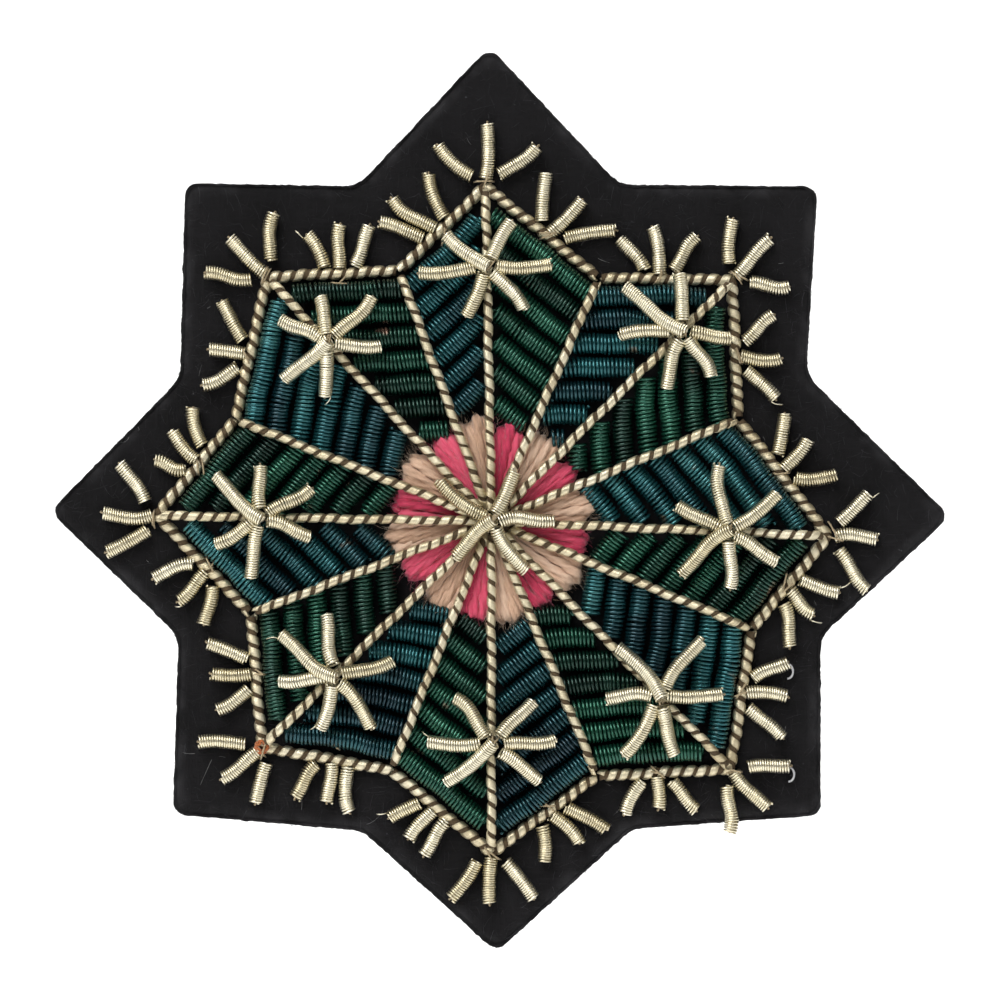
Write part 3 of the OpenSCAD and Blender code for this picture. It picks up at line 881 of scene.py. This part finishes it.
def embroider_purl():
    bronze, copper = (0.16, 0.11, 0.07), (0.34, 0.20, 0.15)
    teal = ((0.006, 0.028, 0.040), (0.016, 0.115, 0.125), (0.13, 0.34, 0.32))
    green = ((0.005, 0.026, 0.018), (0.012, 0.092, 0.056), (0.08, 0.27, 0.17))
    looks = {
        "teal": purl_material("teal_wire", *teal, bronze),
        "green": purl_material("green_wire", *green, copper),
    }
    for colour, material in looks.items():
        for k in PETALS:
            node = f"{colour}_purl_{k}"
            rng = luck(node)
            strands = Strands()
            bow = rng.uniform(-0.03, 0.03)
            for a, b in purl_rows(node):
                u, length = unit(b - a), np.linalg.norm(b - a)
                path = smooth_path([a, b], 0.25 * MM)
                t = np.linspace(0, 1, len(path))[:, None]
                path = path + np.cross(u, FACE) * 4 * t * (1 - t) * bow * length
                path = wander(path, rng, 0.13 * MM, 7 * MM)
                wound = (path, PURL_D / 2 * COIL_SWELL, PURL_WIRE, PURL_TURN)
                rings, along = coil_rings(*wound, rng, per_turn=16, sides=7, loose=0.5)
                strands.add(rings, rng.uniform(0.2, 0.75), along)
            strands.build(f"{colour}_coils_{k}", material, "badge", [node], f"{colour}_wire")


# ---------- cut pieces of gold purl ----------


def chip_path(a, b, rng, drop, lift):
    """A short coil lies bent to one side: its outer end sinks, and its inner end rides on others."""
    u = unit(b - a)
    sideways = unit(np.cross(u, FACE))
    length = np.linalg.norm(b - a)
    bend = rng.choice([-1, 1]) * rng.uniform(0.01, 0.075) * length
    swing = rng.normal(0, 0.015) * length
    t = np.linspace(0, 1, 24)[:, None]
    sway = bend * 4 * t * (1 - t) + swing * np.sin(2 * np.pi * t)
    return a + (b - a) * t + sideways * sway + FACE * (lift * (1 - t) ** 2 - drop * t**1.6)


def fans_of(lines):
    """Sorts cut pieces into threes whose inner ends lie together."""
    left, groups = list(lines), []
    while left:
        first = left.pop(0)
        left.sort(key=lambda line: np.linalg.norm(line[0] - first[0]))
        groups.append([first, *left[:2]])
        left = left[2:]
    return groups


def lay_chips(name, lines, replaced, material, thread, drop, reach, rise, stitches=2):
    """Cut coils whose inner ends meet.

    drop is how far their outer ends sink, reach how far their inner ends run on, and rise how
    high those pile up.
    """
    rng = luck(name)
    strands = Strands()
    hub = meeting_point(lines)
    for i, (a, b) in enumerate(lines):
        # One coil crosses the middle on top of the rest
        crosses = rise > 0 and i == 1
        gap = np.linalg.norm(a - hub)
        on = gap + 0.25 * MM if crosses else min(reach, max(gap - 0.65 * MM, 0))
        start = a - unit(b - a) * on
        lift = CHIP_D * 0.75 if crosses else rise * (i * 0.618 % 1)
        path = chip_path(start, b, rng, drop, lift)
        wound = (path, CHIP_D / 2 * COIL_SWELL, CHIP_WIRE, CHIP_TURN)
        rings, along = coil_rings(*wound, rng, per_turn=16, sides=6, loose=0.3, uneven=0.12)
        strands.add(rings, rng.uniform(0.2, 0.95), along)
        end, way = path[-1], unit(path[-1] - path[-3])
        if rng.uniform() < 0.12:
            fray(strands, end, way, rng)
        side = unit(np.cross(way, FACE)) * rng.choice([-1, 1])
        # The sewing thread comes out of the coil's end and goes down into the felt
        out = rng.uniform(0.1, 0.3) * MM
        line = [
            end - way * 0.5 * MM,
            end,
            end + way * out - FACE * 0.35 * MM,
            end + way * out * 0.8 + side * 0.1 * MM - FACE * CHIP_D * 0.6,
        ]
        shape = smooth_path(line, 0.08 * MM, 0.16 * MM)
        thread.add(round_rings(shape, THREAD, 6, 2, 0.15, 5000), rng.uniform(0, 1))
    tie(thread, hub, lines, rng, stitches)
    return strands.build(name, material, "badge", replaced, "gold_wire")


def fray(strands, end, way, rng):
    """The coil's last turn has sprung open into a short whisker."""
    side = unit(np.cross(way, FACE))
    t = np.linspace(0, 1, 9)[:, None]
    reach, curl = rng.uniform(0.4, 1.0) * MM, rng.normal(0, 0.5) * MM
    start = end + (side * rng.choice([-1, 1]) + FACE * 0.4) * CHIP_D * 0.4
    line = start + way * reach * t + side * curl * t**2 + FACE * 0.2 * MM * np.sin(np.pi * t)
    strands.add(round_rings(line, WHISKER, 5), rng.uniform(0.3, 0.9))


def tie(thread, hub, lines, rng, stitches):
    """Stitches of sewing thread cross the inner ends and pull them down."""
    middle = np.mean([a for a, _ in lines], axis=0)
    around = unit(np.cross(unit(lines[0][1] - lines[0][0]), FACE))
    for _ in range(stitches):
        way = unit(around + rng.normal(0, 0.5, 3) * [1, 0, 1])
        reach = rng.uniform(0.6, 0.9) * MM
        top = middle + (hub - middle) * 0.5 + FACE * CHIP_D * 0.55 + rng.normal(0, 0.12, 3) * MM
        down = -FACE * CHIP_D * 1.1
        line = [
            top - way * reach + down,
            top - way * reach * 0.7,
            top,
            top + way * reach * 0.7,
            top + way * reach + down,
        ]
        shape = smooth_path(line, 0.1 * MM, 0.3 * MM)
        thread.add(round_rings(shape, TYING_THREAD, 6, 2, 0.15, 5000), rng.uniform(0, 1))


def embroider_gold():
    thread = Strands()
    look = (gold_wire_material(), thread)
    on_purl = CORD_D * 0.75
    for k in PETALS:
        node = f"snowflake_{k}"
        lines = rods(node)
        hub = meeting_point(lines)
        lines = [sorted(ends, key=lambda p: np.linalg.norm(p - hub)) for ends in lines]
        lay_chips(f"snowflake_coils_{k}", lines, [node], *look, on_purl, 0.7 * MM, 0.45 * MM)
        node = f"fan_chips_{k}"
        for i, group in enumerate(fans_of(rods(node))):
            replaced = [node] if i == 0 else []
            lay_chips(f"fan_coils_{k}_{i + 1}", group, replaced, *look, 0, 0.3 * MM, 0)
    node = "centre_star"
    sunk = CORD_D * 0.6
    lay_chips("centre_coils", rods(node), [node], *look, sunk, 0.9 * MM, 0.5 * MM, stitches=6)
    thread.build("sewing_thread", thread_material(), slot="gold_cord")


# ---------- rosette ----------


def rosette_radius():
    return max(off_centre(p) for p in node_points("rosette_beige")[0])


def satin_block(strands, points, rng, lanes, fullness, reach):
    """Soft strands laid side by side over a padded block, in two layers, to its round outer end."""
    across_felt = points - CENTRE
    radius = np.hypot(across_felt[:, 0], across_felt[:, 2])
    mid = math.atan2(across_felt[:, 2].mean(), across_felt[:, 0].mean())
    inner, outer = 1.2 * MM, radius.max() + reach
    half_angle = math.radians(22.5 / 2)
    height = FELT_TOP - ROSETTE_TOP
    t = np.linspace(0, 1, 40)
    for count, lift in ((lanes - 1, 0.6), (lanes, 0.95)):
        for i in range(count):
            lane = (i + 0.5) / count * 2 - 1
            lane = lane * (count / lanes) + rng.normal(0, 0.04)
            end = outer - (outer - inner) * 0.09 * lane**2 + rng.normal(0, 0.2 * MM)
            r = inner + (end - inner) * t
            # The strands close in a little at the block's round end
            spread = half_angle * fullness * np.where(t < 0.8, 1, 1 - 0.22 * ((t - 0.8) / 0.2) ** 2)
            angle = mid + lane * spread * 0.86 + rng.normal(0, 0.02) * np.sin(t * np.pi)
            crown = np.clip((1 - t) / 0.1, 0, 1) ** 0.5
            dome = 1 - 0.15 * lane**2
            y = FELT_TOP - height * (0.08 + (lift - 0.2) * crown * dome) - rng.normal(0, 0.04 * MM)
            line = ring_points(r, angle, y, CENTRE)
            width = r * half_angle * fullness * 1.12 / lanes * rng.uniform(0.92, 1.12)
            width = np.minimum(width, 0.46 * MM) * np.clip((1 - t) / 0.06, 0.2, 1) ** 0.5
            twist = rng.uniform(700, 1100)
            strands.add(round_rings(line, width, 20, 4, 0.2, twist), rng.uniform(0.1, 0.9))


def embroider_rosette():
    pinks = ((0.30, 0.010, 0.040), (0.68, 0.048, 0.12), (0.88, 0.18, 0.26))
    beiges = ((0.36, 0.20, 0.12), (0.68, 0.44, 0.30), (0.90, 0.68, 0.52))
    pink, beige = silk_material("pink_silk", *pinks), silk_material("beige_silk", *beiges)
    pink_fuzz = hair_material("pink_fibre", (0.5, 0.05, 0.12), (0.9, 0.35, 0.45))
    beige_fuzz = hair_material("beige_fibre", (0.5, 0.32, 0.2), (0.9, 0.75, 0.6))
    # Strands side by side, how full the block is, how far it runs past its CAD, and its fibres
    looks = (
        ("pink", pink, pink_fuzz, 3, 0.92, 0.15 * MM, 30),
        ("beige", beige, beige_fuzz, 4, 1.12, 0.45 * MM, 110),
    )
    for colour, material, fuzz_look, lanes, fullness, reach, count in looks:
        node = f"rosette_{colour}"
        rng = luck(node)
        strands, fuzz = Strands(), Strands()
        for points in solids(node):
            satin_block(strands, points, rng, lanes, fullness, reach)
            away = points - CENTRE
            mid = math.atan2(away[:, 2].mean(), away[:, 0].mean())
            outer = np.hypot(away[:, 0], away[:, 2]).max() + reach
            angle = mid + rng.normal(0, 0.12, count)
            r = outer - np.abs(rng.normal(0, 1.2, count)) * MM
            depth = FELT_TOP - rng.uniform(0.5, 1.5, count) * MM
            roots = ring_points(r, angle, depth, CENTRE)
            way = ring_points(1.0, angle, rng.normal(-0.3, 0.3, count))
            way += rng.normal(0, 0.45, (count, 3))
            pale = rng.uniform(0, 1, count)
            hairs(fuzz, roots, unit(way), rng, (0.4 * MM, 1.2 * MM), SILK_FIBRE, 0.4, pale)
        strands.build(f"{colour}_satin", material, "badge", [node], f"{colour}_silk")
        fuzz.build(f"{colour}_fuzz", fuzz_look, slot=f"{colour}_silk")


# ---------- marks of handwork ----------


def thread_marks():
    """A knot of orange thread at one petal's tip, and white thread that shows between cut coils."""
    place = outline_path("outline_cord_6")[1] + FACE * OUTLINE_D * 0.35
    turn = np.linspace(0, 2 * np.pi * 4, 90)
    swell = 1 + 0.3 * np.sin(2.3 * turn)
    tangle = np.stack([np.cos(turn) * swell, 0.6 * np.sin(1.7 * turn), np.sin(turn) * swell], -1)
    knot = Strands()
    knot.add(round_rings(place + tangle * 0.42 * MM, ORANGE_THREAD, 8, 3, 0.1, 4000), 0.5)
    oranges = ((0.24, 0.05, 0.008), (0.52, 0.14, 0.03), (0.72, 0.28, 0.09))
    knot.build("orange_knot", silk_material("orange_thread", *oranges))
    white = Strands()
    outermost = sorted(rods("fan_chips_4"), key=lambda ends: -ends[1][0])[:2]
    t = np.linspace(0, np.pi, 16)
    for _, end in outermost:
        arc = [0.45 * np.sin(t), 0.35 - 0.25 * np.sin(t), 0.6 * np.cos(t) - 0.7]
        loop = end + np.stack(arc, -1) * MM
        white.add(round_rings(loop, WHITE_THREAD, 7, 2, 0.12, 5000), 0.6)
    whites = ((0.42, 0.42, 0.44), (0.66, 0.66, 0.68), (0.85, 0.85, 0.86))
    white.build("white_loops", silk_material("white_thread", *whites))


# ---------- metal ----------


def dress_metal():
    """The pins and clutches are the CAD's own, with plate on them and their edges softened."""
    plate = plated_material("nickel_plate", (0.42, 0.41, 0.39), (0.74, 0.73, 0.70))
    spring = plated_material("nickel_spring", (0.36, 0.35, 0.33), (0.66, 0.65, 0.62))
    for name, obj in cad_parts.items():
        if "clutch" not in name and "tack" not in name:
            continue
        obj.data.materials.clear()
        obj.data.materials.append(spring if "wing" in name else plate)
        # A wing is thin stamped sheet, so its edges stay as they are cut
        if "wing" in name:
            continue
        weld = obj.modifiers.new("weld", "WELD")
        weld.merge_threshold = 0.001 * MM
        bevel = obj.modifiers.new("soft_edges", "BEVEL")
        bevel.width = 0.02 * MM
        bevel.segments = 2
        bevel.limit_method = "ANGLE"
        bevel.angle_limit = math.radians(40)


# ---------- studio ----------


def studio_stage():
    """One seamless pale sheet: a floor that curves up into a wall behind the badge."""
    floor = CAD_BOX[0].z - FLOOR_DROP
    back, reach, bend, height = 1.7, 3.2, 0.5, 2.4
    profile = [(-reach, 0.0), (0.0, 0.0)]
    steps = 12
    for i in range(steps + 1):
        a = math.pi / 2 * i / steps
        profile.append((back - bend + bend * math.sin(a), bend - bend * math.cos(a)))
    profile.append((back, height))
    profile = np.array(profile)
    columns = np.linspace(-reach, reach, 9)
    points = np.array([[x, y, floor + z] for y, z in profile for x in columns])
    rows, wide = len(profile), len(columns)
    faces = [
        [i * wide + j, i * wide + j + 1, (i + 1) * wide + j + 1, (i + 1) * wide + j]
        for i in range(rows - 1)
        for j in range(wide - 1)
    ]
    sheet = new_mesh("studio_sheet", points, np.array(faces), stage_material())


def area_light(name, place, aim, size, power):
    """size is its width and height in metres, and power is in watts."""
    data = bpy.data.lights.new(name, "AREA")
    data.shape = "RECTANGLE"
    data.size, data.size_y = size
    data.energy = power
    obj = bpy.data.objects.new(name, data)
    obj.location = place
    way = Vector(aim) - Vector(place)
    obj.rotation_mode = "QUATERNION"
    obj.rotation_quaternion = way.to_track_quat("-Z", "Y")
    bpy.context.scene.collection.objects.link(obj)


def studio_lights():
    world = bpy.data.worlds.new("studio")
    world.use_nodes = True
    glow = world.node_tree.nodes["Background"]
    glow.inputs["Color"].default_value = (1, 1, 1, 1)
    glow.inputs["Strength"].default_value = 0.1
    bpy.context.scene.world = world
    badge = (0, 0, 0)
    area_light("key", (-0.4, -0.75, 0.8), badge, (0.85, 0.85), 14)
    area_light("fill", (0.7, -0.9, 0.1), badge, (0.9, 0.9), 1)
    area_light("back_wall", (0, 0.6, 1.6), (0, 1.6, 0.2), (2.4, 1.2), 60)
    area_light("behind", (0.5, 0.7, 0.6), badge, (0.5, 0.5), 4)


def camera():
    data = bpy.data.cameras.new("camera")
    data.sensor_width = 36
    data.lens = data.sensor_width * CAMERA_DISTANCE / CAMERA_VIEW
    data.clip_start, data.clip_end = 0.01, 20
    obj = bpy.data.objects.new("camera", data)
    lo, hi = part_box("face_felt")
    obj.location = ((lo.x + hi.x) / 2, lo.y - CAMERA_DISTANCE, (lo.z + hi.z) / 2)
    obj.rotation_euler = (math.radians(90), 0, 0)
    bpy.context.scene.collection.objects.link(obj)
    bpy.context.scene.camera = obj
    bpy.context.scene.view_settings.view_transform = "Standard"


camera()
studio_stage()
studio_lights()
lay_felts()
felt_fuzz()
embroider_cords()
embroider_purl()
embroider_gold()
embroider_rosette()
thread_marks()
dress_metal()
